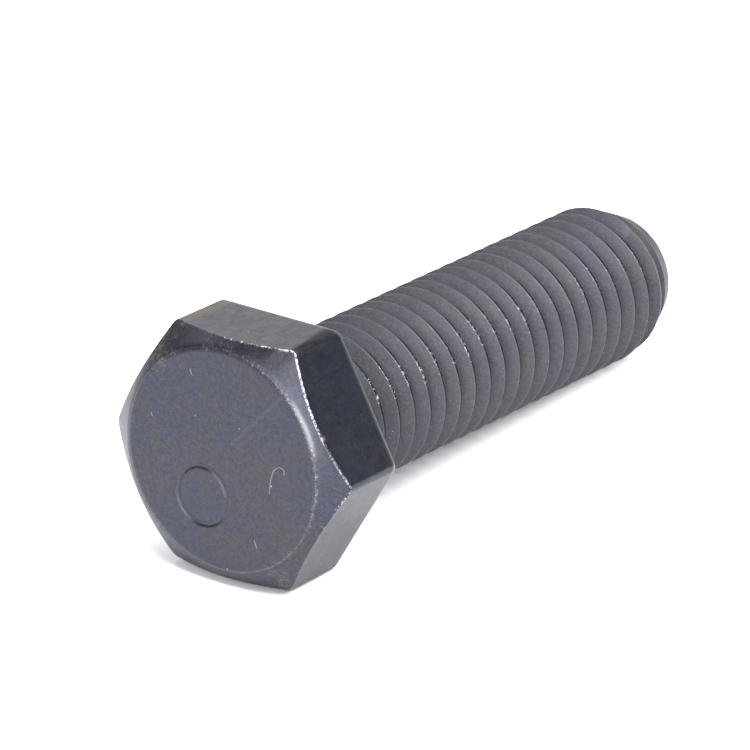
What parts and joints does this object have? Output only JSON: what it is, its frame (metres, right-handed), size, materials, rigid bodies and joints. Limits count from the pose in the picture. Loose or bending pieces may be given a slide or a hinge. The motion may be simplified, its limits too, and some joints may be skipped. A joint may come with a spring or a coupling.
{
  "type": "hex bolt",
  "caption": "Fully threaded black steel hex bolt with a chamfered hexagon head, a thin washer face and a tapered point.",
  "frame": {"origin": "centre of the bearing surface under the head, on the bolt's axis", "axes": "+Y along the bolt's axis from the head towards the point; +Z square to the head's upper flat; +X towards a corner of the hexagon"},
  "size_m": [0.0218, 0.0522, 0.019],
  "materials": {
    "black_steel": "black oxide, lightly worn, with bare metal on the edges and a little brown rust"
  },
  "bodies": {
    "root": {"hex_head": "black_steel", "washer_face": "black_steel", "neck": "black_steel", "threaded_shank": "black_steel", "chamfered_point": "black_steel"}
  },
  "joints": []
}
